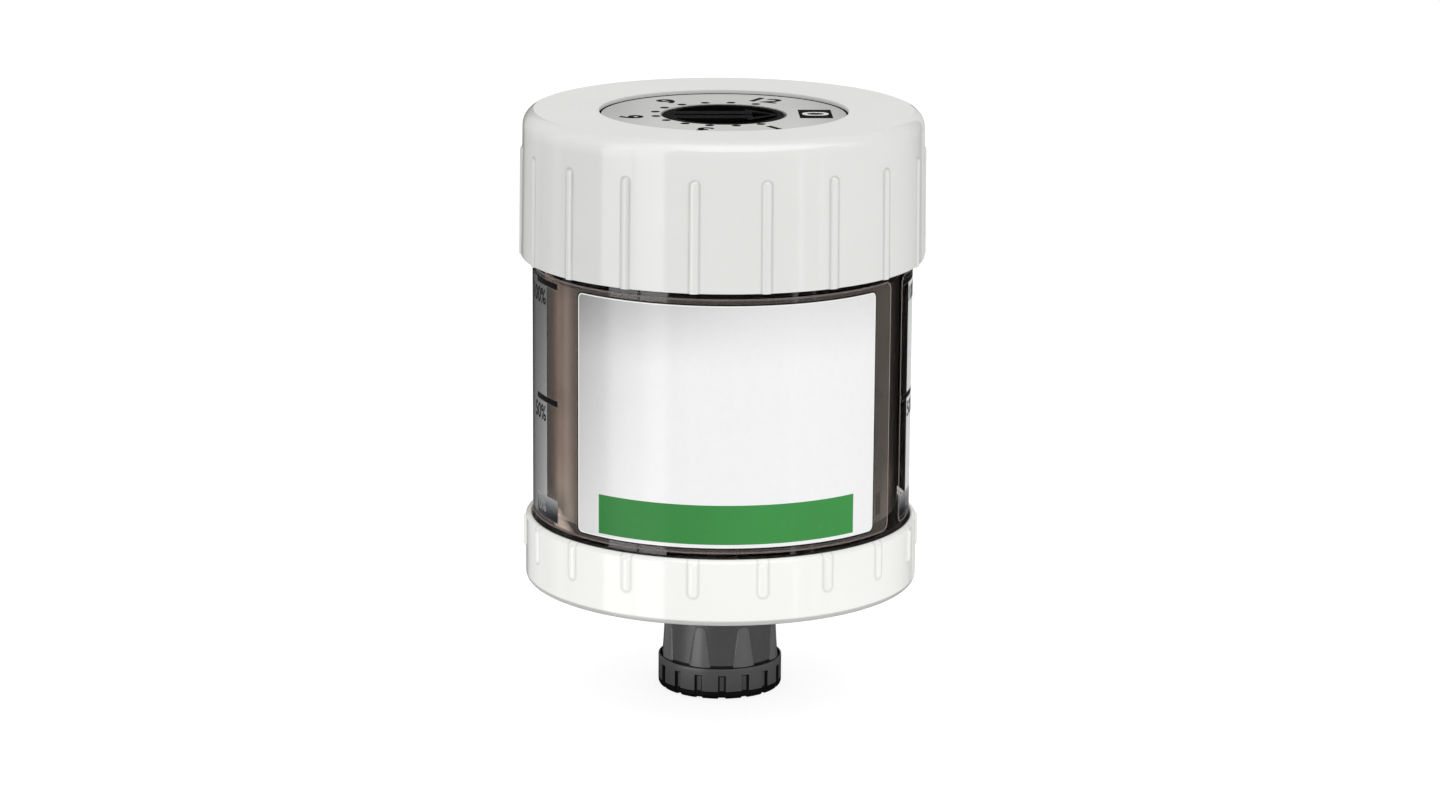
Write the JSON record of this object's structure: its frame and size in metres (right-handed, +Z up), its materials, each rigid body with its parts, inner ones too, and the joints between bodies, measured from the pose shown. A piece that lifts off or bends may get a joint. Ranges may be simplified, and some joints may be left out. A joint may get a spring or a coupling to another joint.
{
  "type": "automatic lubricator",
  "caption": "Gas-driven single-point grease dispenser: clear canister with piston, time-setting dial in the ribbed top cap, threaded outlet under a screw-on closure cap.",
  "frame": {"origin": "centre of the closure cap's underside, the face that the lubricator stands on", "axes": "+Z up the canister's axis to the dial, -Y through the middle of the label, +X to the dial's 0 mark"},
  "size_m": [0.07, 0.0694, 0.1025],
  "materials": {
    "white_shell": "satin moulded",
    "dial_grey": "satin, printed",
    "knob_black": "glossy moulded",
    "seal_rubber": "moulded",
    "spring_steel": "rolled strip",
    "contact_bronze": "stamped strip",
    "board_green": "lacquered laminate",
    "resistor_black": "chip",
    "cell_steel": "nickel plated",
    "carrier_grey": "moulded",
    "membrane_white": "porous sheet",
    "piston_black": "moulded",
    "grease_brown": "grease",
    "tank_smoke": "clear smoke tinted plastic",
    "film_clear": "clear film, printed",
    "closure_black": "satin moulded"
  },
  "bodies": {
    "canister": {"top_cap": "white_shell", "dial_plate": "dial_grey", "circuit_board": "board_green", "board_resistors": "resistor_black", "gas_cell_left": "cell_steel", "gas_cell_right": "cell_steel", "contact_springs": "contact_bronze", "drive_carrier": "carrier_grey", "carrier_o_ring": "seal_rubber", "vent_membranes": "membrane_white", "grease_charge": "grease_brown", "reservoir": "tank_smoke", "label_film": "film_clear", "bottom_ring": "white_shell"},
    "selector": {"selector_knob": "knob_black", "knob_o_ring": "seal_rubber", "knob_clip": "spring_steel", "wiper_contact": "contact_bronze"},
    "piston": {"piston": "piston_black", "piston_seal_lower": "seal_rubber", "piston_seal_upper": "seal_rubber"},
    "closure_disc": {"closure_seal": "seal_rubber"},
    "closure": {"closure_cap": "closure_black"}
  },
  "joints": [
    {"name": "selector_turn", "type": "hinge", "parent": "canister", "child": "selector", "pos_m": [0, 0, 0.1], "axis": [0, 0, -1], "range_deg": [0, 300]},
    {"name": "piston_slide", "type": "slide", "parent": "canister", "child": "piston", "axis": [0, 0, -1], "range_m": [0, 0.0411], "deforming": ["grease_charge"]},
    {"name": "closure_slide", "type": "slide", "parent": "canister", "child": "closure_disc", "axis": [0, 0, -1], "range_m": [0, 0.00802]},
    {"name": "closure_turn", "type": "hinge", "parent": "closure_disc", "child": "closure", "pos_m": [0, 0, 0.005], "axis": [0, 0, -1], "range_deg": [0, 2160]}
  ],
  "couplings": [
    {"joint": "closure_turn", "follows": "closure_slide", "rad_per_m": 4699.5}
  ]
}
